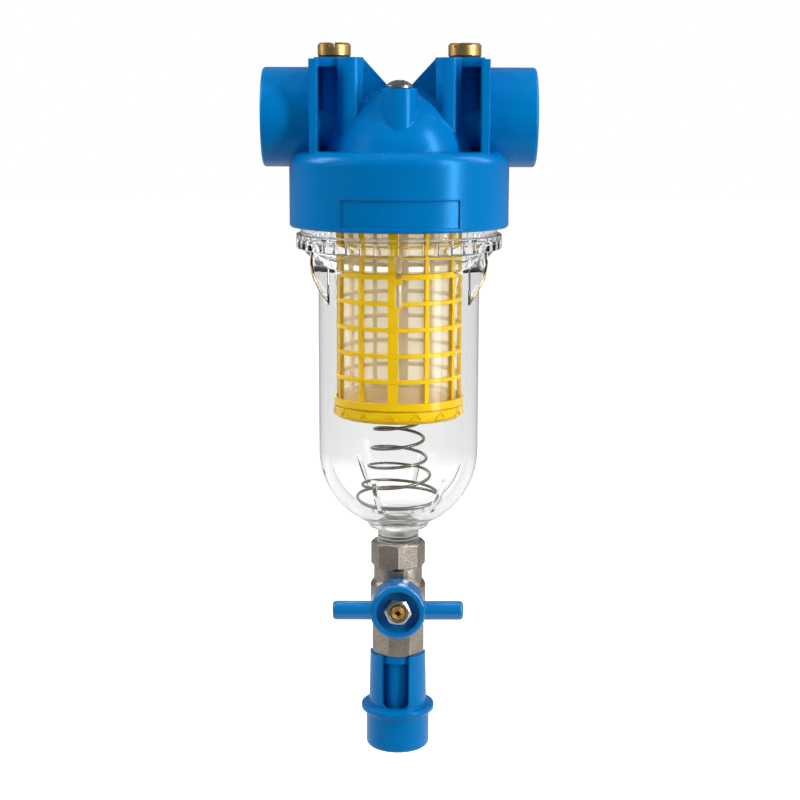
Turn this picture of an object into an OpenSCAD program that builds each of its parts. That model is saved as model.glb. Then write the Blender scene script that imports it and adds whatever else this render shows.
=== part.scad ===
// Inline self-cleaning water filter: ported head, clear bowl, spring-held cartridge, drain valve.
// Millimetres, +Z up, bowl axis on Z, front towards -Y, z = 0 at the lower rim of the drain adapter.

/* [Drain adapter] */
// outside diameter of the spigot that enters the waste pipe
spigot_d = 32.1; // [28:0.1:40]
// height of the spigot
spigot_h = 17.5; // [12:0.5:30]
// flange diameter above the spigot
adapter_flange_d = 37.2; // [34:0.1:48]
// flange thickness
adapter_flange_h = 5; // [3:0.5:8]
// height of the windowed shroud
shroud_h = 28.1; // [22:0.1:40]
// diameter at the foot of the shroud
shroud_d = 29.4; // [27:0.1:34]
// width of one air-gap window
window_w = 12.8; // [8:0.1:15]

/* [Drain valve] */
// overall length of the valve
valve_h = 57.9; // [54:0.1:70]
// across flats of the upper octagon
end_af = 25.3; // [24:0.1:30]
// across flats of the lower octagon
body_af = 25.7; // [24:0.1:30]
// diameter of the ball
ball_d = 20; // [18:0.1:21]
// bore through the ball
ball_bore_d = 11; // [8:0.1:12]
// stem diameter
stem_d = 7; // [6:0.1:8]

/* [Handle] */
// span over the two arms
handle_span = 64.6; // [50:0.1:80]
// hub diameter
hub_d = 27.4; // [25:0.1:32]
// arm thickness
arm_d = 9.4; // [6:0.1:11]

/* [Bowl] */
// outside radius of the clear bowl
bowl_r = 39.6; // [38:0.1:42]
// wall thickness
bowl_wall = 5; // [3:0.1:5.5]
// straight length above the round bottom
bowl_straight = 87.7; // [85:0.1:110]
// radius of the notched grip collar
collar_r = 50.4; // [49.5:0.1:52]
// number of grip notches
notch_count = 44; // [24:2:60]
// number of ribs below the collar
rib_count = 6; // [4:1:8]
// outside diameter of the half inch drain thread
drain_thread_d = 20.95; // [20:0.05:21]

/* [Cartridge] */
// gap between the base cap and the bowl's wall
cartridge_gap = 2.3; // [1.5:0.1:4]
// step from the base cap in to the cage rings
cage_step = 1.1; // [0.8:0.1:1.6]
// pitch of the cage rings
ring_pitch = 12.55; // [11:0.05:13]
// number of upright bars
bar_count = 12; // [8:4:16]
// number of triangle marks round the base cap
mark_count = 16; // [8:1:20]
// distance the cartridge can sink onto its spring
cartridge_travel = 6; // [3:0.5:6]

/* [Spring] */
// wire diameter
wire_d = 1.6; // [1:0.1:1.8]
// radius of the largest coil
spring_r = 21.7; // [18:0.1:22]

/* [Head] */
// wall of the threaded skirt round the bowl's neck
skirt_wall = 5.1; // [4:0.1:8]
// height of the skirt
skirt_h = 36.6; // [34:0.1:44]
// distance between the two port faces
face_to_face = 132; // [130:0.5:160]
// outside diameter of a port
port_od = 47.7; // [45:0.1:52]
// minor diameter of the one inch pipe thread
port_bore_d = 30.3; // [24:0.1:31]
// radius of the dome
dome_r = 37.2; // [36:0.1:39]
// offset of each gauge plug from the centre
plug_x = 31.5; // [29:0.1:33]
// diameter of a gauge plug head
plug_d = 16; // [14.5:0.1:18]
// diameter of the vent screw head
vent_d = 13; // [11:0.1:14]

/* [Clearances] */
// gap between pieces that pass each other
gap = 0.3; // [0.3:0.05:0.6]
// radial gap of a turning or sliding fit
fit = 0.06; // [0.02:0.01:0.1]

/* [Hidden] */
$fn = 96;
tiny = 0.01;
z_flange = spigot_h;
z_shroud = z_flange + adapter_flange_h;
z_valve = z_shroud + shroud_h;
flange_cone = 2.2;
tube_r = 10;
z_tube = z_flange + 0.5;
z_stem = z_valve + 28.7;
z_valve_top = z_valve + valve_h;
z_end = z_valve_top - 12.5;
z_bowl = z_valve_top + 5;
z_dome = z_bowl + 2.5 + bowl_r;
bowl_in = bowl_r - bowl_wall;
base_r = bowl_in - cartridge_gap;
cage_r = base_r - cage_step;
z_cone = z_dome + bowl_straight;
z_collar = z_cone + 13.7;
collar_h = 7;
neck_r = collar_r - 2.2;
neck_in = neck_r - 5.2;
skirt_r = neck_r + gap + skirt_wall;
z_skirt = z_collar + collar_h + 3.4;
z_neck_top = z_skirt + 19.6;
z_shoulder = z_skirt + skirt_h;
z_ceiling = z_neck_top + 4;
z_head_dome = z_shoulder - 6.6;
z_port = z_shoulder + 16;
z_pad = z_port + 28;
port_r = port_od / 2;
half_face = face_to_face / 2;
insert_l = 20.1;
insert_r = port_r - 3.85;
z_pass = z_port - 5;
pass_r = 11;
barrel_r = pass_r + 3;
duct_r = 16;
duct_in = 12;
z_duct = z_skirt + 2.6;
z_cart = z_dome + 18.2;
z_ring = z_cart + 8.5;
ring_count = 7;
z_top_ring = z_ring + ring_count * ring_pitch;
z_cap = z_top_ring + 2;
cap_h = 5;
sleeve_r = duct_r + gap;
sleeve_wall = 4;
z_sleeve = z_cap + 12.9;
finger_w = 2;
finger_r = spring_r + 1.3;
mesh_r = cage_r - 2.4;
boss_x = 23.5;
boss_y = 16;
boss_d = 12.4;
fin_x = plug_x + 9;
fin_w = 3.9;
fin_y = 30;
pad_l = fin_x - boss_x + boss_d / 2;
pad_x = fin_x - pad_l / 2;
vent_y = 25.2;
z_vent = z_port + 13.4;
vent_rim = 1;
vent_rise = 2.8;
vent_crown = (vent_d * vent_d / 4 + vent_rise * vent_rise) / vent_rise / 2;
ball_r = ball_d / 2;
seat_r = ball_r - 1.2;
seat_foot = ball_r - 4.5;
seat_h = ball_r - 0.5;
seat_bore = 6;
cavity_r = ball_r + 0.6;
cavity_foot = ball_r - 3;
valve_wall = 1.65;
belly_wall = 4.8;
belly_r = cavity_r + 3.4;
body_oct_h = 15.4;
body_turn = 25.5;
marks_z = z_cart + 2;
bar_turn = -95;
packing_y = ball_r + 3;
packing_h = 2.4;
hub_back = ball_r + 6;
hub_l = 14.7;
hub_front = hub_back + hub_l;
arm_y = hub_front - arm_d / 2 - 0.4;
hub_rim = 3;
nut_turn = 55;
slot_y = ball_r - 2.8;

// turned solid with the lower outer edge cut by c and the upper outer edge rounded by f
module turned(r, h, c, f) {
  rotate_extrude() {
    polygon([[0, 0], [r - c, 0], [r, c], [r, h - f], [r - f, h - f], [0, h - f]]);
    square([r - f, h]);
    translate([r - f, h - f]) intersection() {
      circle(r = f);
      square([f, f]);
    }
  }
}

// ring of round section lying level
module o_ring(r, wire) {
  rotate_extrude() translate([r, 0]) circle(r = wire, $fn = 32);
}

module along_x(s) {
  rotate([0, s * 90, 0]) children();
}

// everything on one side of the head: port, fin, pad, bosses and web
module head_side(s) {
  translate([s * (fin_x - fin_w / 2), 0, z_port]) along_x(s)
    turned(port_r, half_face - fin_x + fin_w / 2, 0, 1.6);
  translate([s * 12, 0, z_pass]) along_x(s) cylinder(r = barrel_r, h = fin_x - 12);
  translate([s * fin_x - fin_w / 2, -fin_y, z_shoulder - 6])
    cube([fin_w, 2 * fin_y, z_pad - z_shoulder + 5]);
  translate([s * pad_x - pad_l / 2, -boss_y - 2, z_pad - 4.4]) cube([pad_l, 2 * boss_y + 4, 4.4]);
  intersection() {
    translate([s * plug_x, 0, z_pass]) cylinder(r = 12.5, h = z_pad - z_pass);
    translate([s * (fin_x - fin_y) - fin_y, -fin_y, z_pass])
      cube([2 * fin_y, 2 * fin_y, z_pad - z_pass]);
  }
  for (t = [-1, 1])
    translate([s * boss_x, t * boss_y, z_shoulder - 4]) cylinder(d = boss_d, h = z_pad - z_shoulder + 4);
  rotate([90, 0, 0]) translate([0, 0, -2]) linear_extrude(4)
    polygon([[s * 4, z_port], [s * 26, z_port], [s * 26, z_pad], [s * 17.5, z_pad],
      [s * 6, z_pad - 12.4], [s * 4, z_pad - 13.5]]);
}

// open space inside the head, left clear for the water
module head_chamber() {
  difference() {
    union() {
      translate([0, 0, z_skirt - 1]) cylinder(r = neck_r + gap, h = z_ceiling - z_skirt + 1);
      intersection() {
        translate([0, 0, z_head_dome]) sphere(r = dome_r - 4);
        translate([-dome_r, -dome_r, z_ceiling - 1]) cube(2 * dome_r);
      }
    }
    translate([0, 0, z_duct]) cylinder(r = duct_r, h = z_port - z_duct);
    translate([0, 0, z_sleeve + gap]) cylinder(r = sleeve_r + 3.5, h = z_port - z_sleeve);
    translate([0, 0, z_pass]) along_x(1) cylinder(r = barrel_r, h = half_face);
  }
}

module port_bores(s) {
  translate([s * (half_face - insert_l - 0.4), 0, z_port]) along_x(s)
    cylinder(r = insert_r + fit, h = insert_l + 2);
  translate([s * plug_x, 0, z_pad - 10]) cylinder(r = 6.58 + fit, h = 12);
  translate([s * plug_x, 0, z_pass]) cylinder(r = 4, h = z_pad - z_pass);
}

module head() {
  color("#0a6fc2") difference() {
    union() {
      translate([0, 0, z_skirt]) turned(skirt_r, skirt_h, 0.8, 6);
      intersection() {
        translate([0, 0, z_head_dome]) sphere(r = dome_r);
        translate([-dome_r, -dome_r, z_shoulder - 2]) cube(2 * dome_r);
      }
      for (s = [-1, 1]) head_side(s);
      translate([0, -vent_y, z_shoulder - 2]) cylinder(r = 8.3, h = z_vent - z_shoulder + 2);
    }
    head_chamber();
    for (s = [-1, 1]) port_bores(s);
    translate([0, 0, z_pass]) along_x(1) cylinder(r = pass_r, h = half_face - insert_l);
    translate([-19, 0, z_pass]) along_x(-1) cylinder(r = pass_r, h = half_face - insert_l - 19);
    translate([0, 0, z_duct - 1]) cylinder(r = duct_in, h = z_pass - z_duct + 1);
    translate([0, -vent_y, z_shoulder + 8]) cylinder(r = 3 + fit, h = 30);
    translate([0, -vent_y, z_vent - 1.3]) cylinder(r = 5, h = 3);
    rotate([0, 0, -90 - 30.3]) translate([0, 0, z_skirt + 2])
      rotate_extrude(angle = 62) translate([skirt_r - 0.7, 0]) square([2, 13]);
  }
}

module port_insert(s) {
  color("#c9a24a") translate([s * (half_face - insert_l - 0.4), 0, z_port]) along_x(s) difference() {
    cylinder(r = insert_r, h = insert_l);
    translate([0, 0, -1]) cylinder(d = port_bore_d, h = insert_l + 2);
    translate([0, 0, insert_l - 1.5]) cylinder(d1 = port_bore_d, d2 = port_bore_d + 3.2, h = 1.6);
  }
}

module inlet_insert() {
  port_insert(-1);
}

module outlet_insert() {
  port_insert(1);
}

module gauge_plug(s, turn) {
  color("#c8a04c") translate([s * plug_x, 0, z_pad]) difference() {
    union() {
      translate([0, 0, 1.3]) cylinder(d = plug_d, h = 4.9);
      translate([0, 0, 6.2]) cylinder(d1 = plug_d, d2 = plug_d - 2, h = 1);
      translate([0, 0, -9]) cylinder(r = 6.58, h = 11);
    }
    rotate([0, 0, turn]) translate([-plug_d, -1.25, 4.9]) cube([2 * plug_d, 2.5, 4]);
  }
}

module gauge_plug_left() {
  gauge_plug(-1, 84);
}

module gauge_plug_right() {
  gauge_plug(1, 58);
}

module gauge_seal(s) {
  color("#1b1b1d") translate([s * plug_x, 0, z_pad + 0.65]) o_ring(6.58 + fit + 0.6, 0.6);
}

module gauge_seal_left() {
  gauge_seal(-1);
}

module gauge_seal_right() {
  gauge_seal(1);
}

module vent_screw() {
  color("#b9bcc0") translate([0, -vent_y, z_vent + gap]) difference() {
    union() {
      intersection() {
        translate([0, 0, vent_rim + vent_rise - vent_crown]) sphere(r = vent_crown);
        cylinder(d = vent_d, h = vent_d);
      }
      translate([0, 0, -11]) cylinder(r = 3, h = 12);
    }
    for (a = [20, 110]) rotate([0, 0, a]) translate([-vent_d, -0.7, 2]) cube([2 * vent_d, 1.4, 4]);
  }
}

module vent_seal() {
  color("#1b1b1d") translate([0, -vent_y, z_vent - 0.45]) o_ring(3 + fit + 0.7, 0.7);
}

module bowl_seal() {
  color("#1b1b1d") translate([0, 0, z_neck_top + 2]) o_ring((neck_r + neck_in) / 2, 1.9);
}

// outer skin of the bowl, without ribs
module bowl_skin() {
  translate([0, 0, z_dome]) sphere(r = bowl_r);
  translate([0, 0, z_dome]) cylinder(r = bowl_r, h = bowl_straight);
  translate([0, 0, z_cone]) cylinder(r1 = bowl_r, r2 = neck_r - 2.6, h = 8.5);
  translate([0, 0, z_cone + 8.5])
    cylinder(r1 = neck_r - 2.6, r2 = neck_r - 0.4, h = z_collar - z_cone - 8.5);
  translate([0, 0, z_collar]) cylinder(r = collar_r, h = collar_h);
  translate([0, 0, z_collar]) cylinder(r = neck_r, h = z_neck_top - z_collar);
  translate([0, 0, z_bowl]) cylinder(r1 = 14.4, r2 = 15.6, h = 1.2);
  translate([0, 0, z_bowl + 1.2]) cylinder(r = 15.6, h = 4.3);
  translate([0, 0, z_end - 0.5]) cylinder(d = drain_thread_d, h = z_bowl - z_end + 1.5);
}

module bowl_rib() {
  rotate([90, 0, 0]) translate([0, 0, -1.5]) linear_extrude(3)
    polygon([[bowl_r - 2, z_cone - 16.5], [bowl_r, z_cone - 16.5], [bowl_r + 6.8, z_cone - 2.6],
      [neck_r + 0.4, z_cone + 10.7], [neck_r + 0.4, z_collar + 1], [neck_r - 4, z_collar + 1],
      [bowl_r - 2, z_cone + 1]]);
}

// rib inside the round bottom that keeps the spring's foot in the middle
module bowl_finger() {
  rotate([90, 0, 0]) translate([0, 0, -finger_w / 2]) linear_extrude(finger_w)
    polygon([[finger_r, z_dome - bowl_in + 4], [finger_r, z_dome - bowl_in + 9],
      [bowl_in - 1, z_dome - 8], [bowl_in + 2, z_dome - 8], [bowl_in + 2, z_dome - bowl_in + 4]]);
}

module bowl_hollow() {
  translate([0, 0, z_dome]) sphere(r = bowl_in);
  translate([0, 0, z_dome]) cylinder(r = bowl_in, h = bowl_straight);
  translate([0, 0, z_cone - 1.8]) cylinder(r1 = bowl_in, r2 = neck_in, h = 10.5);
  translate([0, 0, z_cone + 8.7]) cylinder(r = neck_in, h = z_neck_top - z_cone);
}

module bowl() {
  color("#dfe8ea", 0.35) difference() {
    union() {
      difference() {
        union() {
          bowl_skin();
          for (i = [0 : rib_count - 1]) rotate([0, 0, -90 + i * 360 / rib_count]) bowl_rib();
        }
        bowl_hollow();
      }
      intersection() {
        translate([0, 0, z_dome]) sphere(r = bowl_in + 1);
        for (i = [0 : 5]) rotate([0, 0, -110 + i * 60]) bowl_finger();
      }
    }
    translate([0, 0, z_end - 2]) cylinder(r = 7, h = z_dome - z_end - bowl_in + 10);
    for (i = [0 : notch_count - 1]) rotate([0, 0, (i + 0.5) * 360 / notch_count])
      translate([collar_r - 1.2, -1.1, z_collar - 1]) cube([4, 2.2, collar_h - 0.6]);
  }
}

// one upright of the cage, from the base cap to the upper cap
module cage_bar(w) {
  translate([cage_r - 2, -w / 2, z_ring]) cube([1.8, w, z_cap - z_ring]);
}

module cartridge_cage() {
  color("#f5d000") {
    for (i = [1 : ring_count]) translate([0, 0, z_ring + i * ring_pitch - 1]) difference() {
      cylinder(r = cage_r, h = 2);
      translate([0, 0, -1]) cylinder(r = cage_r - 2, h = 4);
    }
    for (i = [0 : bar_count - 1]) rotate([0, 0, bar_turn + i * 360 / bar_count])
      cage_bar(i % 3 == 0 ? 4.7 : 2);
  }
}

module filter_mesh() {
  color("#ece3c8") translate([0, 0, z_ring]) difference() {
    cylinder(r = mesh_r, h = z_cap - z_ring - 0.1);
    translate([0, 0, -1]) cylinder(r = mesh_r - 0.6, h = z_cap - z_ring + 2);
  }
}

// raised triangle outline on the rim of the base cap, point up
module base_mark() {
  rotate([90, 0, 0]) translate([0, 0, -0.5]) linear_extrude(1) difference() {
    polygon([[-3.5, 0], [3.5, 0], [0, 4]]);
    polygon([[-2.1, 0.6], [2.1, 0.6], [0, 2.9]]);
  }
}

module cartridge_base() {
  color("#f5d000") {
    difference() {
      translate([0, 0, z_cart]) union() {
        rotate_extrude() {
          translate([base_r - 3.4, 3]) circle(r = 3);
          square([base_r - 3.4, 6.3]);
          translate([0, 3]) square([base_r - 0.4, 3.3]);
        }
        translate([0, 0, 6.2]) cylinder(r = base_r - 1.2, h = 1);
        translate([0, 0, 7]) cylinder(r = base_r, h = 3.6);
      }
      translate([0, 0, z_ring]) cylinder(r = mesh_r + 0.4, h = 4);
      translate([0, 0, z_cart + 3]) cylinder(r = mesh_r - 2, h = 20);
      translate([0, 0, z_ring]) difference() {
        cylinder(r = cage_r - 0.2 + fit, h = 4);
        translate([0, 0, -1]) cylinder(r = mesh_r + 0.3, h = 6);
      }
    }
    for (i = [0 : mark_count - 1]) rotate([0, 0, -7 + i * 360 / mark_count])
      translate([0, -base_r + 0.5, marks_z]) base_mark();
  }
}

module cartridge_collar() {
  color("#f5d000") difference() {
    union() {
      translate([0, 0, z_cap]) turned(cage_r, cap_h, 0.4, 1.5);
      translate([0, 0, z_cap + 1]) cylinder(r = sleeve_r + sleeve_wall, h = z_sleeve - z_cap - 1);
    }
    translate([0, 0, z_cap - 1]) cylinder(r = sleeve_r, h = z_sleeve - z_cap + 2);
    translate([0, 0, z_sleeve - 4.4]) cylinder(r = sleeve_r + 2, h = 2.4);
  }
}

module cartridge_seal() {
  color("#1b1b1d") translate([0, 0, z_sleeve - 3.2]) o_ring(duct_r + fit + 1.1, 1.1);
}

// conical compression spring swept along its coils
spring_steps = 28;
spring_sides = 8;
spring_foot = z_dome - sqrt(pow(bowl_in - 0.1 - wire_d / 2, 2) - spring_r * spring_r);
spring_top = z_cart - wire_d / 2 - 0.02;
spring_rise = spring_top - spring_foot;
coil_r = [[0, spring_r], [1, spring_r - 0.8], [2, 15.9], [3, 14], [4, 12.7], [5, 11.5], [6, 11.5]];
coil_z = [[0, 0], [1, 0.042], [2, 0.3], [3, 0.505], [4, 0.735], [5, 0.957], [6, 1]];

function coil_point(i, j) =
  let (t = i / spring_steps, a = 360 * t, b = 360 * j / spring_sides,
    r = lookup(t, coil_r) + cos(b) * wire_d / 2)
  [r * cos(a), r * sin(a), spring_foot + spring_rise * lookup(t, coil_z) + sin(b) * wire_d / 2];

module return_spring() {
  last = 6 * spring_steps;
  points = [for (i = [0 : last]) for (j = [0 : spring_sides - 1]) coil_point(i, j)];
  sides = [for (i = [0 : last - 1]) for (j = [0 : spring_sides - 1])
    [i * spring_sides + j, i * spring_sides + (j + 1) % spring_sides,
      (i + 1) * spring_sides + (j + 1) % spring_sides, (i + 1) * spring_sides + j]];
  first = [[for (j = [spring_sides - 1 : -1 : 0]) j]];
  end = [[for (j = [0 : spring_sides - 1]) last * spring_sides + j]];
  color("#b8bbc0") polyhedron(points = points, faces = concat(sides, first, end), convexity = 12);
}

// lies along -Y from the stem axis, starting at the given depth
module along_stem(y) {
  translate([0, -y, z_stem]) rotate([90, 0, 0]) children();
}

// octagon bar with both ends chamfered
module octagon(af, h, turn) {
  corner = af / cos(22.5) / 2;
  cut = corner - af / 2 + 0.2;
  intersection() {
    rotate([0, 0, turn]) cylinder(r = corner, h = h, $fn = 8);
    rotate_extrude() polygon([[0, 0], [corner - cut, 0], [corner + 0.3, cut * 0.9],
      [corner + 0.3, h - cut * 0.9], [corner - cut, h], [0, h]]);
  }
}

module valve_end() {
  color("#b7b2a6") difference() {
    union() {
      translate([0, 0, z_end]) octagon(end_af, z_valve_top - z_end, 0);
      translate([0, 0, z_stem + cavity_foot])
        cylinder(r = cavity_r - fit, h = z_end - z_stem - cavity_foot + 1);
    }
    translate([0, 0, z_end - 0.5]) cylinder(d = drain_thread_d + 2 * fit, h = 20);
    translate([0, 0, z_stem + seat_foot]) cylinder(r = seat_bore, h = z_end - z_stem);
    translate([0, 0, z_stem + seat_foot]) cylinder(r = seat_r + fit, h = seat_h - seat_foot);
  }
}

module valve_body() {
  color("#b7b2a6") difference() {
    union() {
      translate([0, 0, z_valve]) octagon(body_af, body_oct_h, body_turn);
      translate([0, 0, z_valve + 10]) cylinder(r = cavity_r + valve_wall, h = z_end - z_valve - 10);
      translate([0, 0, z_stem]) intersection() {
        sphere(r = cavity_r + belly_wall);
        translate([0, 0, -belly_r]) cylinder(r = belly_r, h = 2 * belly_r);
      }
      along_stem(6) cylinder(r = 7.5, h = hub_back - 0.4 - 6);
      translate([-3, -hub_back + 0.5, z_stem]) cube([6, 8, z_end - z_stem - gap]);
    }
    translate([0, 0, z_valve - 1]) cylinder(d = drain_thread_d + 2 * fit, h = 14);
    translate([0, 0, z_valve]) cylinder(r = seat_bore, h = z_stem - z_valve);
    translate([0, 0, z_stem - seat_h]) cylinder(r = seat_r + fit, h = seat_h);
    translate([0, 0, z_stem - cavity_foot]) cylinder(r = cavity_r, h = z_end - z_stem + 8);
    along_stem(5) cylinder(r = 5.2, h = ball_r - 3);
    along_stem(8) cylinder(r = stem_d / 2 + fit, h = hub_back);
    along_stem(packing_y) cylinder(r = 5.3, h = 5);
  }
}

module ball_seat(s) {
  color("#f2f1ec") translate([0, 0, z_stem]) difference() {
    translate([0, 0, s > 0 ? seat_foot : -seat_h]) cylinder(r = seat_r, h = seat_h - seat_foot);
    translate([0, 0, -ball_d]) cylinder(r = seat_bore, h = 2 * ball_d);
    sphere(d = ball_d + 2 * fit);
  }
}

module ball_seat_upper() {
  ball_seat(1);
}

module ball_seat_lower() {
  ball_seat(-1);
}

module valve_ball() {
  color("#cfd2d4") translate([0, 0, z_stem]) difference() {
    sphere(d = ball_d);
    translate([-ball_d, 0, 0]) rotate([0, 90, 0]) cylinder(d = ball_bore_d, h = 2 * ball_d);
    translate([-ball_d, -ball_d, -1.55]) cube([2 * ball_d, ball_d - slot_y, 3.1]);
  }
}

module valve_stem() {
  color("#c2a14f") difference() {
    union() {
      along_stem(ball_r + 0.2) cylinder(d = stem_d, h = hub_front - 0.4 - ball_r);
      along_stem(hub_front - 0.2) cylinder(d1 = stem_d, d2 = stem_d - 1.8, h = 0.9);
      along_stem(ball_r + 0.3) cylinder(r = 4.8, h = 1.4);
      translate([-3.2, -ball_r - 0.4, z_stem - 1.5]) cube([6.4, ball_r + 0.4 - slot_y, 3]);
    }
    along_stem(hub_front - 2) cylinder(r = 0.8, h = 4);
  }
}

module stem_packing() {
  color("#232325") along_stem(packing_y) difference() {
    cylinder(r = 5.2, h = packing_h);
    translate([0, 0, -1]) cylinder(r = stem_d / 2 + fit, h = packing_h + 2);
  }
}

module valve_handle() {
  color("#0a6fc2") difference() {
    union() {
      along_stem(hub_back) turned(hub_d / 2, hub_front - hub_back, 0.8, 1.6);
      for (s = [-1, 1]) translate([0, -arm_y, z_stem]) along_x(s)
        turned(arm_d / 2, handle_span / 2, 0, 1.8);
    }
    along_stem(hub_front - 4.2) cylinder(d = hub_d - 2 * hub_rim, h = 6);
    along_stem(hub_back - 1) cylinder(r = stem_d / 2 + 0.02, h = 20);
  }
}

module handle_nut() {
  color("#c9ccd0") along_stem(hub_front - 4.2) difference() {
    intersection() {
      rotate([0, 0, nut_turn]) cylinder(d = 12 / cos(30), h = 4, $fn = 6);
      rotate_extrude() polygon([[0, 0], [7.3, 0], [7.3, 3], [5.7, 4], [0, 4]]);
    }
    translate([0, 0, -1]) cylinder(r = stem_d / 2 + 0.02, h = 8);
  }
}

// opening in the shroud, round at its lower corners and open at the top
module shroud_window() {
  h = shroud_h + 1;
  rotate([90, 0, 0]) linear_extrude(30) {
    translate([-window_w / 2, 3]) square([window_w, h - 3]);
    translate([-window_w / 2 + 3, 0]) square([window_w - 6, h]);
    for (s = [-1, 1]) translate([s * (window_w / 2 - 3), 3]) circle(r = 3, $fn = 48);
  }
}

module drain_adapter() {
  neck = shroud_d / 2 - 2.6;
  color("#0a6fc2") difference() {
    union() {
      difference() {
        union() {
          translate([0, 0, z_flange]) rotate([180, 0, 0]) turned(spigot_d / 2, spigot_h, 0, 2.5);
          translate([0, 0, z_flange])
            cylinder(d1 = spigot_d, d2 = adapter_flange_d - 0.6, h = flange_cone + tiny);
          translate([0, 0, z_flange + flange_cone])
            turned(adapter_flange_d / 2, adapter_flange_h - flange_cone, 0.3, 0.8);
          translate([0, 0, z_shroud - tiny])
            cylinder(d1 = shroud_d, d2 = shroud_d - 1.2, h = shroud_h + tiny);
        }
        translate([0, 0, -1]) cylinder(r = spigot_d / 2 - 3, h = spigot_h);
        translate([0, 0, z_flange - 1 - tiny]) cylinder(r1 = spigot_d / 2 - 3, r2 = neck, h = 3);
        translate([0, 0, z_flange + 2 - 2 * tiny]) cylinder(r = neck, h = z_valve - z_flange - 5.6);
        for (i = [0 : 2]) rotate([0, 0, i * 120 - 4.5]) translate([0, 0, z_shroud + 0.5]) shroud_window();
      }
      translate([0, 0, z_tube]) cylinder(r = tube_r, h = z_valve - z_tube);
      translate([0, 0, z_valve - 4.2]) cylinder(r = neck + 0.2, h = 4.2);
      translate([0, 0, z_valve - 1]) cylinder(d = drain_thread_d, h = 12.8);
    }
    translate([0, 0, z_tube - 1]) cylinder(r = tube_r - 3, h = z_valve - z_tube + 18);
  }
}

head();
inlet_insert();
outlet_insert();
gauge_plug_left();
gauge_plug_right();
gauge_seal_left();
gauge_seal_right();
vent_screw();
vent_seal();
bowl_seal();
bowl();
cartridge_cage();
filter_mesh();
cartridge_base();
cartridge_collar();
cartridge_seal();
return_spring();
valve_end();
valve_body();
ball_seat_upper();
ball_seat_lower();
valve_ball();
valve_stem();
stem_packing();
valve_handle();
handle_nut();
drain_adapter();
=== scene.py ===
import math

import bpy
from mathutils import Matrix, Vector


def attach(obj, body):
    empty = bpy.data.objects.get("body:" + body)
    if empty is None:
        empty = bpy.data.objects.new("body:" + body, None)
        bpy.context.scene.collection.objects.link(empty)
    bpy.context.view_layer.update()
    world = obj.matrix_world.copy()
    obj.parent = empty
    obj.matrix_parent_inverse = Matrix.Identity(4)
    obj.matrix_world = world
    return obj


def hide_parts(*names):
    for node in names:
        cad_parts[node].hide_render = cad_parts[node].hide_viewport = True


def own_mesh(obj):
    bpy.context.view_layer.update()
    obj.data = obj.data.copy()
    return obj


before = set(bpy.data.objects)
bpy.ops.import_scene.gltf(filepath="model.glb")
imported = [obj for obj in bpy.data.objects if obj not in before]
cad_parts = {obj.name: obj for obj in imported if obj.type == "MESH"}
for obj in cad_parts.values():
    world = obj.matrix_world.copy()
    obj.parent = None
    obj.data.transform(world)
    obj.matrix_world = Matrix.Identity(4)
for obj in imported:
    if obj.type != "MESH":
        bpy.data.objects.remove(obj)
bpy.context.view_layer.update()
print("frame loaded:", len(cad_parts), "nodes")


def linear(hexColour):
    channels = [int(hexColour[i:i + 2], 16) / 255 for i in (1, 3, 5)]
    return [c / 12.92 if c <= 0.04045 else ((c + 0.055) / 1.055) ** 2.4 for c in channels] + [1.0]


def addNode(tree, kind, values=None, links=None, **settings):
    node = tree.nodes.new(kind)
    for key, value in settings.items():
        setattr(node, key, value)
    for key, value in (values or {}).items():
        node.inputs[key].default_value = value
    for key, source in (links or {}).items():
        tree.links.new(source, node.inputs[key])
    return node


def newMaterial(name):
    material = bpy.data.materials.new(name)
    material.use_nodes = True
    tree = material.node_tree
    tree.nodes.clear()
    place = addNode(tree, "ShaderNodeTexCoord").outputs["Object"]
    return material, tree, place


def finishMaterial(tree, shader, volume=None):
    links = {"Surface": shader}
    if volume:
        links["Volume"] = volume
    addNode(tree, "ShaderNodeOutputMaterial", links=links)


def bluePolypropylene(name, roughness, coat=0.0):
    # glass-filled polypropylene, injection moulded: even pigment, satin skin with a faint grain, soft edges
    look = {"base": "#0077bd", "deep": "#006cb0", "shine": "#48acf0", "flowMm": 38, "grainMm": 0.9,
            "edgeMm": 1.2, "smoothest": roughness - 0.05, "roughest": roughness + 0.07}
    material, tree, place = newMaterial(name)
    flow = addNode(tree, "ShaderNodeTexNoise", {"Scale": 1000 / look["flowMm"], "Detail": 2.0}, {"Vector": place})
    tint = addNode(tree, "ShaderNodeMix", {6: linear(look["base"]), 7: linear(look["deep"])},
                   {0: flow.outputs["Fac"]}, data_type="RGBA")
    grain = addNode(tree, "ShaderNodeTexNoise", {"Scale": 1000 / look["grainMm"], "Detail": 3.0}, {"Vector": place})
    sheen = addNode(tree, "ShaderNodeMapRange", {"To Min": look["smoothest"], "To Max": look["roughest"]},
                    {"Value": grain.outputs["Fac"]})
    edge = addNode(tree, "ShaderNodeBevel", {"Radius": look["edgeMm"] / 1000}, samples=6)
    bump = addNode(tree, "ShaderNodeBump", {"Strength": 0.09, "Distance": 0.0002},
                   {"Height": grain.outputs["Fac"], "Normal": edge.outputs["Normal"]})
    skin = addNode(tree, "ShaderNodeBsdfPrincipled",
                   {"IOR": 1.49, "Specular IOR Level": 0.7, "Specular Tint": linear(look["shine"]),
                    "Coat Weight": coat, "Coat Roughness": 0.06},
                   {"Base Color": tint.outputs[2], "Roughness": sheen.outputs["Result"],
                    "Normal": bump.outputs["Normal"]})
    finishMaterial(tree, skin.outputs["BSDF"])
    return material


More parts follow.
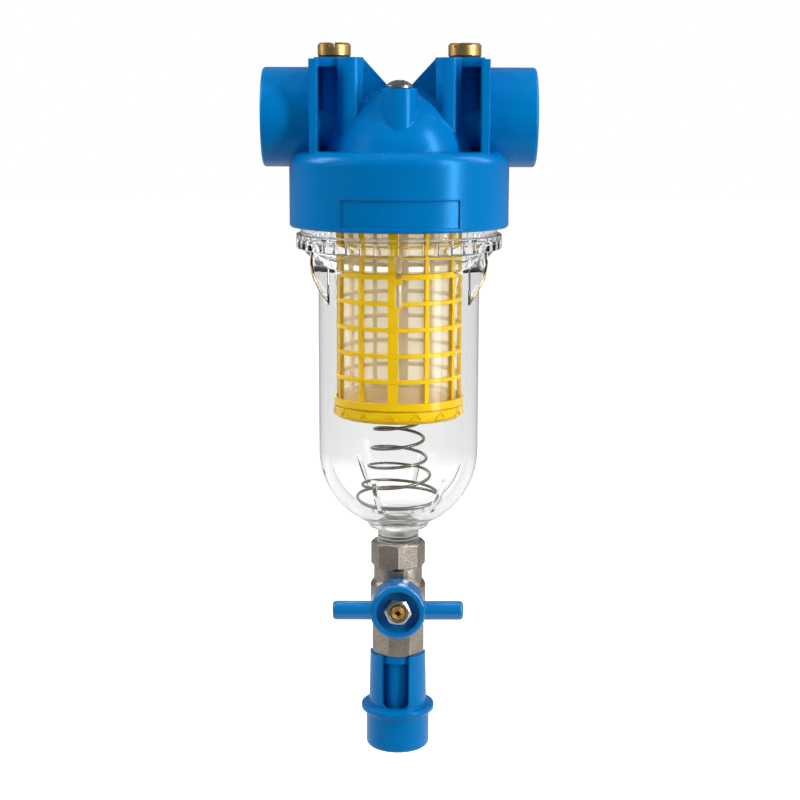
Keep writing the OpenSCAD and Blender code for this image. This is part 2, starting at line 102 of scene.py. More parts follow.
def yellowPolypropylene():
    # pigmented polypropylene, moulded thin: glossy, a little light goes through it
    look = {"base": "#c8a200", "warm": "#bd9500", "shine": "#ffdf50", "flowMm": 16, "grainMm": 1.2,
            "edgeMm": 0.5, "smoothest": 0.24, "roughest": 0.38, "depthMm": 1.5}
    material, tree, place = newMaterial("yellowPolypropylene")
    flow = addNode(tree, "ShaderNodeTexNoise", {"Scale": 1000 / look["flowMm"], "Detail": 2.0}, {"Vector": place})
    tint = addNode(tree, "ShaderNodeMix", {6: linear(look["base"]), 7: linear(look["warm"])},
                   {0: flow.outputs["Fac"]}, data_type="RGBA")
    grain = addNode(tree, "ShaderNodeTexNoise", {"Scale": 1000 / look["grainMm"], "Detail": 2.0}, {"Vector": place})
    sheen = addNode(tree, "ShaderNodeMapRange", {"To Min": look["smoothest"], "To Max": look["roughest"]},
                    {"Value": grain.outputs["Fac"]})
    edge = addNode(tree, "ShaderNodeBevel", {"Radius": look["edgeMm"] / 1000}, samples=4)
    skin = addNode(tree, "ShaderNodeBsdfPrincipled",
                   {"IOR": 1.49, "Specular IOR Level": 0.35, "Specular Tint": linear(look["shine"]),
                    "Subsurface Weight": 0.08, "Subsurface Scale": look["depthMm"] / 1000,
                    "Subsurface Radius": (1.0, 0.7, 0.1)},
                   {"Base Color": tint.outputs[2], "Roughness": sheen.outputs["Result"],
                    "Normal": edge.outputs["Normal"]})
    finishMaterial(tree, skin.outputs["BSDF"])
    return material


def clearSan():
    # styrene acrylonitrile, moulded clear: glassy, long paths through the wall go slightly grey,
    # the drain thread is frosted, and the bottom of the bowl is greyed with painted shade
    look = {"clear": "#fbfcfc", "paintedShadeLow": "#eaeae8", "shine": "#707070", "through": "#f4f6f6", "haze": "#d8d8d6",
            "density": 7.0, "rippleMm": 22, "frosted": 0.3, "polished": 0.02, "scattered": 0.3,
            "frostZ": (0.1162, 0.1205), "lowZ": (0.119, 0.130)}
    material, tree, place = newMaterial("clearSan")
    ripple = addNode(tree, "ShaderNodeTexNoise", {"Scale": 1000 / look["rippleMm"], "Detail": 1.0},
                     {"Vector": place})
    bump = addNode(tree, "ShaderNodeBump", {"Strength": 0.06, "Distance": 0.0006}, {"Height": ripple.outputs["Fac"]})
    height = addNode(tree, "ShaderNodeSeparateXYZ", links={"Vector": place})
    frost = addNode(tree, "ShaderNodeMapRange",
                    {"From Min": look["frostZ"][0], "From Max": look["frostZ"][1],
                     "To Min": look["frosted"], "To Max": look["polished"]}, {"Value": height.outputs["Z"]})
    # painted shade: the glass's base colour greys from 130 mm down to 119 mm height
    low = addNode(tree, "ShaderNodeMapRange", {"From Min": look["lowZ"][0], "From Max": look["lowZ"][1]},
                  {"Value": height.outputs["Z"]})
    tint = addNode(tree, "ShaderNodeMix", {6: linear(look["paintedShadeLow"]), 7: linear(look["clear"])},
                   {0: low.outputs["Result"]}, data_type="RGBA")
    glass = addNode(tree, "ShaderNodeBsdfPrincipled",
                    {"IOR": 1.5, "Specular Tint": linear(look["shine"]), "Transmission Weight": 1.0},
                    {"Base Color": tint.outputs[2], "Normal": bump.outputs["Normal"],
                     "Roughness": frost.outputs["Result"]})
    # shadow rays and a share of the diffuse rays go straight through
    rays = addNode(tree, "ShaderNodeLightPath")
    through = addNode(tree, "ShaderNodeBsdfTransparent", {"Color": linear(look["through"])})
    share = addNode(tree, "ShaderNodeMath", {1: look["scattered"]},
                    {0: rays.outputs["Is Diffuse Ray"], 2: rays.outputs["Is Shadow Ray"]}, operation="MULTIPLY_ADD")
    surface = addNode(tree, "ShaderNodeMixShader",
                      links={0: share.outputs["Value"], 1: glass.outputs["BSDF"], 2: through.outputs["BSDF"]})
    haze = addNode(tree, "ShaderNodeVolumeAbsorption", {"Color": linear(look["haze"]), "Density": look["density"]})
    finishMaterial(tree, surface.outputs["Shader"], haze.outputs["Volume"])
    return material


def filterCloth():
    # woven polyester monofilament: off-white, lets some light and sight through;
    # the weave is drawn coarser than 0.1 mm
    look = {"thread": "#fbf2de", "shade": "#efe2c4", "hole": "#fffdf8", "weaveMm": 0.8, "sleeveMm": 28.8,
            "open": 0.76, "translucent": 0.6}
    material, tree, place = newMaterial("filterCloth")
    axes = addNode(tree, "ShaderNodeSeparateXYZ", links={"Vector": place})
    turn = addNode(tree, "ShaderNodeMath", links={0: axes.outputs["Y"], 1: axes.outputs["X"]}, operation="ARCTAN2")
    around = addNode(tree, "ShaderNodeMath", {1: look["sleeveMm"] / 1000}, {0: turn.outputs["Value"]},
                     operation="MULTIPLY")
    unrolled = addNode(tree, "ShaderNodeCombineXYZ", links={"X": around.outputs["Value"], "Y": axes.outputs["Z"]})
    rate = 1000 / look["weaveMm"] * math.pi
    # the wave texture turns 20 radians in one unit of its scale
    warp, weft = [addNode(tree, "ShaderNodeTexWave", {"Scale": rate / 20, "Distortion": 0.4},
                          {"Vector": unrolled.outputs["Vector"]}, bands_direction=way) for way in "XY"]
    weave = addNode(tree, "ShaderNodeMath", links={0: warp.outputs["Fac"], 1: weft.outputs["Fac"]},
                    operation="MULTIPLY")
    tint = addNode(tree, "ShaderNodeMix", {6: linear(look["thread"]), 7: linear(look["shade"])},
                   {0: weave.outputs["Value"]}, data_type="RGBA")
    bump = addNode(tree, "ShaderNodeBump", {"Strength": 0.25, "Distance": 0.0002}, {"Height": weave.outputs["Value"]})
    skin = addNode(tree, "ShaderNodeBsdfPrincipled", {"Roughness": 0.75, "IOR": 1.57},
                   {"Base Color": tint.outputs[2], "Normal": bump.outputs["Normal"]})
    glow = addNode(tree, "ShaderNodeBsdfTranslucent", links={"Color": tint.outputs[2]})
    cloth = addNode(tree, "ShaderNodeMixShader", {0: look["translucent"]},
                    {1: skin.outputs["BSDF"], 2: glow.outputs["BSDF"]})
    hole = addNode(tree, "ShaderNodeBsdfTransparent", {"Color": linear(look["hole"])})
    surface = addNode(tree, "ShaderNodeMixShader", {0: look["open"]},
                      {1: cloth.outputs["Shader"], 2: hole.outputs["BSDF"]})
    finishMaterial(tree, surface.outputs["Shader"])
    return material


def turnedBrass(name, centre, axis):
    # free-cutting brass, turned on a lathe: warm metal with fine rings round its own axis
    look = {"base": "#f2c67a", "tarnish": "#d09c52", "ringMm": 0.35, "stainMm": 5, "edgeMm": 0.3,
            "smoothest": 0.3, "roughest": 0.46}
    material, tree, place = newMaterial(name)
    local = addNode(tree, "ShaderNodeMapping", {"Location": [-c for c in centre]}, {"Vector": place})
    axes = addNode(tree, "ShaderNodeSeparateXYZ", links={"Vector": local.outputs["Vector"]})
    other = [a for a in "XYZ" if a != axis]
    flat = addNode(tree, "ShaderNodeCombineXYZ", links={"X": axes.outputs[other[0]], "Y": axes.outputs[other[1]]})
    radius = addNode(tree, "ShaderNodeVectorMath", links={0: flat.outputs["Vector"]}, operation="LENGTH")
    along = addNode(tree, "ShaderNodeMath", links={0: radius.outputs["Value"], 1: axes.outputs[axis]},
                    operation="ADD")
    rings = addNode(tree, "ShaderNodeMath", {1: 2000 * math.pi / look["ringMm"]}, {0: along.outputs["Value"]},
                    operation="MULTIPLY")
    wave = addNode(tree, "ShaderNodeMath", links={0: rings.outputs["Value"]}, operation="SINE")
    stain = addNode(tree, "ShaderNodeTexNoise", {"Scale": 1000 / look["stainMm"], "Detail": 4.0}, {"Vector": place})
    patch = addNode(tree, "ShaderNodeMapRange", {"From Min": 0.35, "From Max": 0.75}, {"Value": stain.outputs["Fac"]})
    tint = addNode(tree, "ShaderNodeMix", {6: linear(look["base"]), 7: linear(look["tarnish"])},
                   {0: patch.outputs["Result"]}, data_type="RGBA")
    sheen = addNode(tree, "ShaderNodeMapRange", {"To Min": look["smoothest"], "To Max": look["roughest"]},
                    {"Value": stain.outputs["Fac"]})
    edge = addNode(tree, "ShaderNodeBevel", {"Radius": look["edgeMm"] / 1000}, samples=4)
    bump = addNode(tree, "ShaderNodeBump", {"Strength": 0.16, "Distance": 0.00006},
                   {"Height": wave.outputs["Value"], "Normal": edge.outputs["Normal"]})
    skin = addNode(tree, "ShaderNodeBsdfPrincipled", {"Metallic": 1.0},
                   {"Base Color": tint.outputs[2], "Roughness": sheen.outputs["Result"],
                    "Normal": bump.outputs["Normal"]})
    finishMaterial(tree, skin.outputs["BSDF"])
    return material


def tumbledNickel():
    # nickel plate over hot-stamped, tumbled brass: warm grey, soft pits and a satin gloss
    look = {"base": "#cac0b2", "dull": "#a4998a", "pit": "#8f8475", "pitMm": 0.8, "cloudMm": 9, "edgeMm": 0.6,
            "smoothest": 0.24, "roughest": 0.46}
    material, tree, place = newMaterial("tumbledNickel")
    pits = addNode(tree, "ShaderNodeTexNoise", {"Scale": 1000 / look["pitMm"], "Detail": 4.0}, {"Vector": place})
    cloud = addNode(tree, "ShaderNodeTexNoise", {"Scale": 1000 / look["cloudMm"], "Detail": 3.0}, {"Vector": place})
    plate = addNode(tree, "ShaderNodeMix", {6: linear(look["base"]), 7: linear(look["dull"])},
                    {0: cloud.outputs["Fac"]}, data_type="RGBA")
    speck = addNode(tree, "ShaderNodeMapRange", {"From Min": 0.5, "From Max": 0.68}, {"Value": pits.outputs["Fac"]})
    tint = addNode(tree, "ShaderNodeMix", {7: linear(look["pit"])},
                   {0: speck.outputs["Result"], 6: plate.outputs[2]}, data_type="RGBA")
    sheen = addNode(tree, "ShaderNodeMapRange", {"To Min": look["smoothest"], "To Max": look["roughest"]},
                    {"Value": pits.outputs["Fac"]})
    edge = addNode(tree, "ShaderNodeBevel", {"Radius": look["edgeMm"] / 1000}, samples=6)
    bump = addNode(tree, "ShaderNodeBump", {"Strength": 0.7, "Distance": 0.0003},
                   {"Height": pits.outputs["Fac"], "Normal": edge.outputs["Normal"]})
    skin = addNode(tree, "ShaderNodeBsdfPrincipled", {"Metallic": 1.0},
                   {"Base Color": tint.outputs[2], "Roughness": sheen.outputs["Result"],
                    "Normal": bump.outputs["Normal"]})
    finishMaterial(tree, skin.outputs["BSDF"])
    return material


def brightSteel(name, base, worn, roughness):
    # drawn or plated steel: neutral metal, faint scratches
    look = {"scratchMm": 0.9, "edgeMm": 0.2, "smoothest": roughness - 0.06, "roughest": roughness + 0.1}
    material, tree, place = newMaterial(name)
    scratch = addNode(tree, "ShaderNodeTexNoise", {"Scale": 1000 / look["scratchMm"], "Detail": 3.0},
                      {"Vector": place})
    sheen = addNode(tree, "ShaderNodeMapRange", {"To Min": look["smoothest"], "To Max": look["roughest"]},
                    {"Value": scratch.outputs["Fac"]})
    tint = addNode(tree, "ShaderNodeMix", {6: linear(base), 7: linear(worn)},
                   {0: scratch.outputs["Fac"]}, data_type="RGBA")
    edge = addNode(tree, "ShaderNodeBevel", {"Radius": look["edgeMm"] / 1000}, samples=4)
    skin = addNode(tree, "ShaderNodeBsdfPrincipled", {"Metallic": 1.0},
                   {"Base Color": tint.outputs[2], "Roughness": sheen.outputs["Result"],
                    "Normal": edge.outputs["Normal"]})
    finishMaterial(tree, skin.outputs["BSDF"])
    return material


def plainMoulding(name, base, dark, roughness):
    # soft seal or turned fluoropolymer: matt, slightly mottled
    look = {"mottleMm": 1.5}
    material, tree, place = newMaterial(name)
    mottle = addNode(tree, "ShaderNodeTexNoise", {"Scale": 1000 / look["mottleMm"], "Detail": 3.0},
                     {"Vector": place})
    tint = addNode(tree, "ShaderNodeMix", {6: linear(base), 7: linear(dark)}, {0: mottle.outputs["Fac"]},
                   data_type="RGBA")
    bump = addNode(tree, "ShaderNodeBump", {"Strength": 0.08, "Distance": 0.0001}, {"Height": mottle.outputs["Fac"]})
    skin = addNode(tree, "ShaderNodeBsdfPrincipled", {"Roughness": roughness, "IOR": 1.5},
                   {"Base Color": tint.outputs[2], "Normal": bump.outputs["Normal"]})
    finishMaterial(tree, skin.outputs["BSDF"])
    return material


def mm(*values):
    return tuple(v / 1000 for v in values)


def soloSelect(piece):
    bpy.ops.object.select_all(action="DESELECT")
    piece.select_set(True)
    bpy.context.view_layer.objects.active = piece


def strokePath(name, points):
    # a plane merged to one point, walked along the points by extrusion
    bpy.ops.object.select_all(action="DESELECT")
    bpy.ops.mesh.primitive_plane_add(size=0.001, location=(0, 0, 0))
    piece = bpy.context.object
    piece.name = piece.data.name = name
    bpy.ops.object.mode_set(mode="EDIT")
    bpy.ops.mesh.select_all(action="SELECT")
    bpy.ops.mesh.merge(type="CENTER")
    bpy.ops.transform.translate(value=points[0])
    for before, after in zip(points, points[1:]):
        step = Vector(after) - Vector(before)
        bpy.ops.mesh.extrude_region_move(TRANSFORM_OT_translate={"value": step})
    bpy.ops.mesh.select_all(action="SELECT")
    return piece


def turnProfile(name, profile, steps):
    # profile is a list of radius and height in millimetres, turned about the Z axis
    piece = strokePath(name, [mm(r, 0, z) for r, z in profile])
    bpy.ops.mesh.spin(steps=steps, angle=2 * math.pi, center=(0, 0, 0), axis=(0, 0, 1))
    bpy.ops.mesh.select_all(action="SELECT")
    bpy.ops.mesh.remove_doubles(threshold=0.000004)
    bpy.ops.mesh.normals_make_consistent(inside=False)
    bpy.ops.object.mode_set(mode="OBJECT")
    return piece


def plateFrom(name, outline, thickness):
    # outline in millimetres, lying in the XZ plane, given thickness across Y
    piece = strokePath(name, [mm(x, -thickness / 2, z) for x, z in outline])
    bpy.ops.mesh.edge_face_add()
    bpy.ops.mesh.extrude_region_move(TRANSFORM_OT_translate={"value": mm(0, thickness, 0)})
    bpy.ops.mesh.select_all(action="SELECT")
    bpy.ops.mesh.normals_make_consistent(inside=False)
    bpy.ops.object.mode_set(mode="OBJECT")
    return piece


def roundEdges(piece, radius):
    soloSelect(piece)
    soften = piece.modifiers.new("soften", "BEVEL")
    soften.width = radius / 1000
    soften.segments = 3
    bpy.ops.object.modifier_apply(modifier=soften.name)


def ringOfCopies(piece, count, first):
    # copies of the piece round the Z axis from the first angle on, all in one mesh
    copies = []
    for i in range(count):
        soloSelect(piece)
        bpy.ops.object.duplicate()
        copy = bpy.context.object
        copy.rotation_euler = (0, 0, math.radians(first + i * 360 / count))
        bpy.ops.object.transform_apply(location=True, rotation=True, scale=True)
        copies.append(copy)
    bpy.data.objects.remove(piece)
    soloSelect(copies[0])
    for copy in copies[1:]:
        copy.select_set(True)
    bpy.ops.object.join()
    return bpy.context.object


def carve(piece, tool, operation):
    soloSelect(piece)
    cut = piece.modifiers.new("carve", "BOOLEAN")
    cut.operation = operation
    cut.solver = "EXACT"
    cut.object = tool
    bpy.ops.object.modifier_apply(modifier=cut.name)
    bpy.data.objects.remove(tool)


def dress(piece, material, angle):
    soloSelect(piece)
    bpy.ops.object.shade_smooth_by_angle(angle=math.radians(angle))
    piece.data.materials.clear()
    piece.data.materials.append(material)


def arc(centreZ, radius, start, end, count):
    # points of a circle whose centre is on the Z axis
    steps = [math.radians(start + (end - start) * i / count) for i in range(count + 1)]
    return [(radius * math.cos(a), centreZ + radius * math.sin(a)) for a in steps]


def softCorners(corners):
    # corners are radius, height and rounding in millimetres; a rounded corner gets five steps,
    # and a holding point on each side that is long enough
    path = []
    for i, (r, z, soft) in enumerate(corners):
        here = Vector((r, z))
        if soft == 0:
            path.append(here)
            continue
        back, ahead = (Vector(corners[j][:2]) - here for j in (i - 1, i + 1))
        start, end = here + back.normalized() * soft, here + ahead.normalized() * soft
        if back.length > 2 * soft + 1:
            path.append(start + back.normalized() * 0.3)
        for k in range(6):
            t = k / 5
            path.append(start * (1 - t) ** 2 + here * 2 * t * (1 - t) + end * t ** 2)
        if ahead.length > 2 * soft + 1:
            path.append(end + ahead.normalized() * 0.3)
    return [(p.x, p.y) for p in path]


def makeBowl(material):
    bowl = {"outer": 39.6, "inner": 34.6, "bottomZ": 155.6, "wallZ": (156.2, 180.0, 210.0), "coneZ": 248.1,
            "collarZ": 257.0, "collarTop": 264.0, "collarR": 50.4, "neckR": 48.2, "neckRoot": 46.9, "neckIn": 43.0,
            "neckTurns": 5, "neckPitch": 3, "topZ": 287.0, "drainR": 10.47, "drainRoot": 9.35, "drainIn": 7.0,
            "drainZ": 95.5, "drainTop": 114.5, "drainPitch": 1.814, "sides": 128,
            "drainCollar": [(9.6, 114.6, 0), (9.8, 116.4, 0), (14.7, 116.4, 0.8), (15.6, 118.2, 0.4),
                            (15.6, 119.0, 0)],
            "ribs": 6, "ribThick": 3.4, "ribSoft": 0.7,
            "rib": [(38.4, 230.6), (39.8, 230.6), (47.4, 244.0), (48.5, 250.9), (48.3, 258.2), (44.4, 258.2),
                    (44.4, 254.0), (38.4, 247.4)],
            "fingers": 6, "fingerThick": 2.0,
            "finger": [(23.0, 126.5), (23.0, 130.0), (33.9, 147.8), (35.2, 147.8), (33.5, 138.5), (27.0, 129.0)],
            "notches": 44, "notchWide": 2.2, "notchSoft": 0.5,
            "notch": [(48.9, 256.0), (54.0, 256.0), (54.0, 262.6), (48.9, 262.6)]}
    profile = [(bowl["drainIn"], bowl["drainZ"])]
    z = bowl["drainZ"]
    while z + bowl["drainPitch"] < bowl["drainTop"]:  # drain thread, crest by crest
        profile += [(bowl["drainRoot"], z + 0.1), (bowl["drainRoot"], z + 0.35),
                    (bowl["drainR"], z + 0.85), (bowl["drainR"], z + 1.1)]
        z += bowl["drainPitch"]
    profile += softCorners(bowl["drainCollar"])
    profile += [p for p in arc(bowl["bottomZ"], bowl["outer"], -66, 0, 30) if p[0] > 16.4]
    profile += [(bowl["outer"], z) for z in bowl["wallZ"]]
    profile += softCorners([(bowl["outer"], 240.0, 0), (bowl["outer"], bowl["coneZ"], 1.2), (46.8, 255.9, 0.6),
                            (47.8, 256.6, 0.3), (bowl["collarR"], bowl["collarZ"], 0.5),
                            (bowl["collarR"], bowl["collarTop"], 0.5), (bowl["neckR"], bowl["collarTop"], 0.4),
                            (bowl["neckR"], 268.6, 0)])
    for i in range(bowl["neckTurns"]):  # neck thread
        step = bowl["neckPitch"] * i
        profile += [(bowl["neckRoot"], 269.4 + step), (bowl["neckRoot"], 270.2 + step),
                    (bowl["neckR"], 271.0 + step), (bowl["neckR"], 271.6 + step)]
    profile += softCorners([(bowl["neckR"], 284.5, 0), (bowl["neckR"], bowl["topZ"], 0.5),
                            (bowl["neckIn"], bowl["topZ"], 0.5), (bowl["neckIn"], 260.5, 1.5),
                            (bowl["inner"], 246.5, 1.5), (bowl["inner"], 241.0, 0)])
    profile += [(bowl["inner"], z) for z in reversed(bowl["wallZ"])]
    profile += [p for p in arc(bowl["bottomZ"], bowl["inner"], 0, -90, 40) if p[0] > 7.4]
    profile += [(bowl["drainIn"], 121.4), (bowl["drainIn"], bowl["drainZ"])]
    shell = turnProfile("bowlClear", profile, bowl["sides"])
    rib = plateFrom("rib", bowl["rib"], bowl["ribThick"])
    roundEdges(rib, bowl["ribSoft"])
    carve(shell, ringOfCopies(rib, bowl["ribs"], -90), "UNION")
    finger = plateFrom("finger", bowl["finger"], bowl["fingerThick"])
    carve(shell, ringOfCopies(finger, bowl["fingers"], -110), "UNION")
    notch = plateFrom("notch", bowl["notch"], bowl["notchWide"])
    roundEdges(notch, bowl["notchSoft"])
    carve(shell, ringOfCopies(notch, bowl["notches"], 360 / bowl["notches"] / 2), "DIFFERENCE")
    dress(shell, material, 35)
    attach(shell, "bowl")
    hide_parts("bowl")


def makeSpring(material):
    # radius at each whole turn, and the share of the height reached there
    spring = {"wire": 1.6, "radii": [21.7, 20.9, 15.9, 14.0, 12.7, 11.5, 11.5],
              "rise": [0.0, 0.042, 0.3, 0.505, 0.735, 0.957, 1.0], "foot": 129.82, "top": 172.98, "steps": 32}
    turns = len(spring["radii"]) - 1
    path = []
    for i in range(turns * spring["steps"] + 1):
        turn = i / spring["steps"]
        k = min(int(turn), turns - 1)
        t = turn - k
        radius = spring["radii"][k] * (1 - t) + spring["radii"][k + 1] * t
        rise = spring["rise"][k] * (1 - t) + spring["rise"][k + 1] * t
        height = spring["foot"] + (spring["top"] - spring["foot"]) * rise
        path.append(mm(radius * math.cos(2 * math.pi * turn), radius * math.sin(2 * math.pi * turn), height))
    wire = bpy.data.curves.new("springWire", "CURVE")
    wire.dimensions = "3D"
    wire.bevel_depth = spring["wire"] / 2000
    wire.bevel_resolution = 4
    wire.use_fill_caps = True
    line = wire.splines.new("POLY")
    line.points.add(len(path) - 1)
    for point, place in zip(line.points, path):
        point.co = (*place, 1)
    piece = bpy.data.objects.new("springWire", wire)
    bpy.context.scene.collection.objects.link(piece)
    soloSelect(piece)
    bpy.ops.object.convert(target="MESH")
    piece = bpy.context.object
    dress(piece, material, 60)
    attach(piece, "bowl")
    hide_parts("return_spring")
    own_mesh(piece)


def faceFront(piece, ahead, height):
    # a piece made round Z turns to look along -Y, so far in front of the bowl axis
    soloSelect(piece)
    piece.rotation_euler = (math.radians(90), 0, 0)
    piece.location = mm(0, -ahead, height)
    bpy.ops.object.transform_apply(location=True, rotation=True, scale=True)


def makeNut(material):
    # a turned ring with its chamfer in front, cut to a hexagon
    nut = {"flats": 12.0, "turn": 55, "back": 26.5, "height": 79.3, "sides": 96, "prismDeep": 80,
           "section": [(3.52, 0), (7.3, 0), (7.3, 2.7), (5.3, 4.0), (4.6, 4.0), (4.0, 3.4), (3.9, 2.0), (3.52, 1.9),
                       (3.52, 0)]}
    piece = turnProfile("nutPlated", nut["section"], nut["sides"])
    faceFront(piece, nut["back"], nut["height"])
    reach = nut["flats"] / 2 / math.cos(math.radians(30))
    angles = [math.radians(nut["turn"] + 60 * i) for i in range(6)]
    hexagon = [(reach * math.cos(a), nut["height"] + reach * math.sin(a)) for a in angles]
    carve(piece, plateFrom("prism", hexagon, nut["prismDeep"]), "INTERSECT")
    dress(piece, material, 20)
    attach(piece, "spindle")
    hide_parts("handle_nut")


def makeStem(material):
    # the tongue at the back sits in the ball's slot
    stem = {"height": 79.3, "tongue": (6.4, 3.2, 3.0), "tongueY": -8.8, "sides": 64,
            "section": [(0, 10.2), (3.5, 10.2), (3.5, 10.3), (4.8, 10.3), (4.8, 11.7), (3.5, 11.7), (3.5, 30.4),
                        (2.9, 31.3), (2.6, 31.4), (2.35, 31.4), (2.2, 31.0), (1.9, 31.0), (1.75, 31.3),
                        (1.5, 31.3), (1.3, 31.0), (1.3, 24.6), (0, 23.9)]}
    piece = turnProfile("stemBrass", stem["section"], stem["sides"])
    faceFront(piece, 0, stem["height"])
    bpy.ops.object.select_all(action="DESELECT")
    bpy.ops.mesh.primitive_cube_add(size=1, location=mm(0, stem["tongueY"], stem["height"]),
                                    scale=mm(*stem["tongue"]))
    tongue = bpy.context.object
    bpy.ops.object.transform_apply(location=True, rotation=True, scale=True)
    carve(piece, tongue, "UNION")
    dress(piece, material, 30)
    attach(piece, "spindle")
    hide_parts("valve_stem")


def cover(node, material):
    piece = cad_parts[node]
    piece.data.materials.clear()
    piece.data.materials.append(material)


blue = bluePolypropylene("bluePolypropylene", 0.25)
blueGloss = bluePolypropylene("bluePolypropyleneGloss", 0.15, 1.0)
yellow = yellowPolypropylene()
nickel = tumbledNickel()
rubber = plainMoulding("nitrileRubber", "#1a1a1c", "#26262a", 0.55)
ptfe = plainMoulding("turnedPtfe", "#efeee8", "#dfddd3", 0.45)
steel = brightSteel("springSteel", "#78726a", "#5c5750", 0.32)
plated = brightSteel("zincPlate", "#e2e2e0", "#bdbbb7", 0.24)
finishes = {
    "head": blue, "valve_handle": blueGloss, "drain_adapter": blue,
    "inlet_insert": turnedBrass("brassInlet", mm(-55, 0, 320), "X"),
    "outlet_insert": turnedBrass("brassOutlet", mm(55, 0, 320), "X"),
    "gauge_plug_left": turnedBrass("brassPlugLeft", mm(-31.5, 0, 348), "Z"),
    "gauge_plug_right": turnedBrass("brassPlugRight", mm(31.5, 0, 348), "Z"),
    "gauge_seal_left": rubber, "gauge_seal_right": rubber, "vent_seal": rubber, "bowl_seal": rubber,
    "cartridge_seal": rubber, "stem_packing": rubber,
    "vent_screw": plated,
    "cartridge_cage": yellow, "cartridge_base": yellow, "cartridge_collar": yellow,
    "filter_mesh": filterCloth(),
    "valve_end": nickel, "valve_body": nickel, "valve_ball": nickel,
    "ball_seat_upper": ptfe, "ball_seat_lower": ptfe,
}
for node, material in finishes.items():
    cover(node, material)
print("finishes set:", len(finishes))
makeBowl(clearSan())
makeSpring(steel)
makeNut(plated)
makeStem(turnedBrass("brassStem", mm(0, -20, 79.3), "Y"))
print("bowl, spring, nut and stem made")


def makeCamera():
    view = {"place": (0.0003, -0.810, 0.3243), "pitch": 10.06, "roll": -0.17, "lens": 74.0}
    camera = bpy.data.cameras.new("viewCamera")
    camera.lens = view["lens"]
    camera.sensor_width = 36.0
    camera.clip_end = 20
    holder = bpy.data.objects.new("viewCamera", camera)
    holder.location = view["place"]
    holder.rotation_euler = (math.radians(90 - view["pitch"]), math.radians(view["roll"]), 0)
    bpy.context.scene.collection.objects.link(holder)
    bpy.context.scene.camera = holder


def makeFloor():
    # white paper; seen through the bowl it is darker aside, and close by it carries a painted shadow, which gives the
    # glass its shape
    sheet = {"z": -0.13, "size": 8.0, "front": 0.4, "paper": "#cfcfcf", "seen": 0.97, "mirrored": 0.15,
             "glazed": 0.8, "aside": 0.76, "near": 0.36, "asideX": (0.2, 0.7), "nearY": (0.1, 0.9)}
    bpy.ops.object.select_all(action="DESELECT")
    bpy.ops.mesh.primitive_plane_add(size=sheet["size"], location=(0, sheet["size"] / 2 - sheet["front"], sheet["z"]))
    floor = bpy.context.object
    floor.name = "studioFloor"
    bpy.ops.object.transform_apply(location=True, rotation=True, scale=True)
    material, tree, place = newMaterial("paperFloor")
    rays = addNode(tree, "ShaderNodeLightPath")
    paper = addNode(tree, "ShaderNodeBsdfDiffuse", {"Color": linear(sheet["paper"])})
    axes = addNode(tree, "ShaderNodeSeparateXYZ", links={"Vector": place})
    aside = addNode(tree, "ShaderNodeMath", links={0: axes.outputs["X"]}, operation="ABSOLUTE")
    veil = addNode(tree, "ShaderNodeMapRange",
                   {"From Min": sheet["asideX"][0], "From Max": sheet["asideX"][1],
                    "To Min": sheet["glazed"], "To Max": sheet["aside"]},
                   {"Value": aside.outputs["Value"]}, interpolation_type="SMOOTHSTEP")
    # painted shadow: the paper's glow, as seen through the bowl, drops close in front of the object
    nearShadow = addNode(tree, "ShaderNodeMapRange",
                       {"From Min": sheet["nearY"][0], "From Max": sheet["nearY"][1],
                        "To Min": sheet["near"], "To Max": 1.0},
                       {"Value": axes.outputs["Y"]}, interpolation_type="SMOOTHSTEP")
    below = addNode(tree, "ShaderNodeMath", links={0: veil.outputs["Result"], 1: nearShadow.outputs["Result"]},
                    operation="MULTIPLY")
    mirrored = addNode(tree, "ShaderNodeMath", {1: sheet["mirrored"]}, {0: rays.outputs["Is Glossy Ray"]},
                       operation="MULTIPLY")
    glazed = addNode(tree, "ShaderNodeMix",
                     links={0: rays.outputs["Is Transmission Ray"], 2: mirrored.outputs["Value"],
                            3: below.outputs["Value"]})
    level = addNode(tree, "ShaderNodeMix", {3: sheet["seen"]},
                    {0: rays.outputs["Is Camera Ray"], 2: glazed.outputs[0]})
    white = addNode(tree, "ShaderNodeEmission", {"Color": (1, 1, 1, 1)}, {"Strength": level.outputs[0]})
    surface = addNode(tree, "ShaderNodeAddShader", links={0: paper.outputs["BSDF"], 1: white.outputs["Emission"]})
    finishMaterial(tree, surface.outputs["Shader"])
    floor.data.materials.append(material)


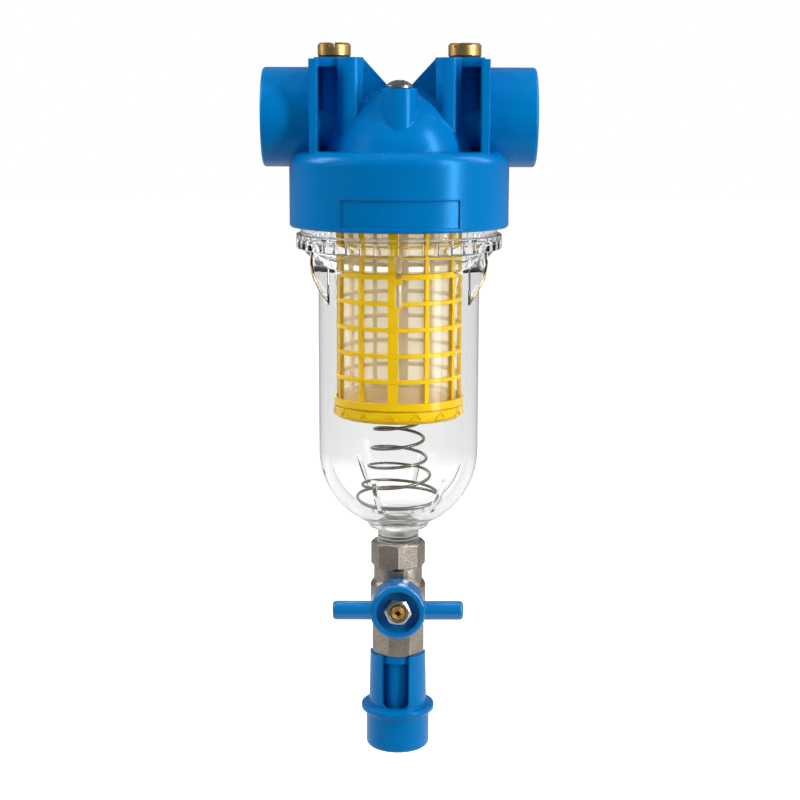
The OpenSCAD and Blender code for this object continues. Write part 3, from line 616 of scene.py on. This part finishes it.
def makeWorld():
    # white to the camera, a little darker to the sides through the bowl;
    # mirrored, a dim room in front and lighter paper behind
    room = {"seen": 1.0, "front": 0.11, "behind": 0.17, "fill": 0.06, "aside": 0.9,
            "sweepY": (0.0, 0.7), "asideY": (0.2, 0.85)}
    world = bpy.data.worlds.new("studioWorld")
    bpy.context.scene.world = world
    world.use_nodes = True
    tree = world.node_tree
    tree.nodes.clear()
    rays = addNode(tree, "ShaderNodeLightPath")
    toward = addNode(tree, "ShaderNodeSeparateXYZ",
                     links={"Vector": addNode(tree, "ShaderNodeTexCoord").outputs["Generated"]})
    sweep = addNode(tree, "ShaderNodeMapRange",
                    {"From Min": room["sweepY"][0], "From Max": room["sweepY"][1],
                     "To Min": room["front"], "To Max": room["behind"]},
                    {"Value": toward.outputs["Y"]}, interpolation_type="SMOOTHSTEP")
    depth = addNode(tree, "ShaderNodeMath", links={0: toward.outputs["Y"]}, operation="ABSOLUTE")
    veil = addNode(tree, "ShaderNodeMapRange",
                   {"From Min": room["asideY"][0], "From Max": room["asideY"][1],
                    "To Min": room["aside"], "To Max": 1.0},
                   {"Value": depth.outputs["Value"]}, interpolation_type="SMOOTHSTEP")
    lit = addNode(tree, "ShaderNodeMix", {2: room["fill"]},
                  {0: rays.outputs["Is Glossy Ray"], 3: sweep.outputs["Result"]})
    glazed = addNode(tree, "ShaderNodeMix",
                     links={0: rays.outputs["Is Transmission Ray"], 2: lit.outputs[0], 3: veil.outputs["Result"]})
    level = addNode(tree, "ShaderNodeMix", {3: room["seen"]},
                    {0: rays.outputs["Is Camera Ray"], 2: glazed.outputs[0]})
    light = addNode(tree, "ShaderNodeBackground", {"Color": (1, 1, 1, 1)}, {"Strength": level.outputs[0]})
    addNode(tree, "ShaderNodeOutputWorld", links={"Surface": light.outputs["Background"]})


def softBox(name, place, target, size, power, mirrored=True):
    light = bpy.data.lights.new(name, "AREA")
    light.shape = "RECTANGLE"
    light.size, light.size_y = size
    light.energy = power
    holder = bpy.data.objects.new(name, light)
    holder.location = place
    holder.rotation_euler = (Vector(target) - Vector(place)).to_track_quat("-Z", "Y").to_euler()
    holder.visible_glossy = mirrored
    bpy.context.scene.collection.objects.link(holder)


def makeLamps():
    # soft boxes right, left, behind and above, given by place, target, size and watts;
    # False keeps a box out of mirrored surfaces
    softBox("keyRight", (0.69, -0.46, 0.50), (0, 0, 0.3), (0.15, 1.0), 8.8)
    softBox("fillLeft", (-0.72, -0.40, 0.58), (0, 0, 0.34), (0.4, 0.6), 4.2, False)
    softBox("rimRight", (0.72, 0.18, 0.82), (0, 0, 0.3), (0.24, 0.6), 2.0)
    softBox("rimLeft", (-0.76, 0.06, 0.74), (0, 0, 0.3), (0.3, 0.5), 3.0)
    softBox("backBox", (-0.2, 0.9, 0.7), (0, 0, 0.3), (0.6, 0.8), 3.5, False)
    softBox("topBox", (0.0, -0.2, 1.05), (0, 0, 0.3), (0.7, 0.5), 2.5, False)


makeCamera()
makeFloor()
makeWorld()
makeLamps()
bpy.context.scene.view_settings.view_transform = "Standard"
print("camera and studio made")
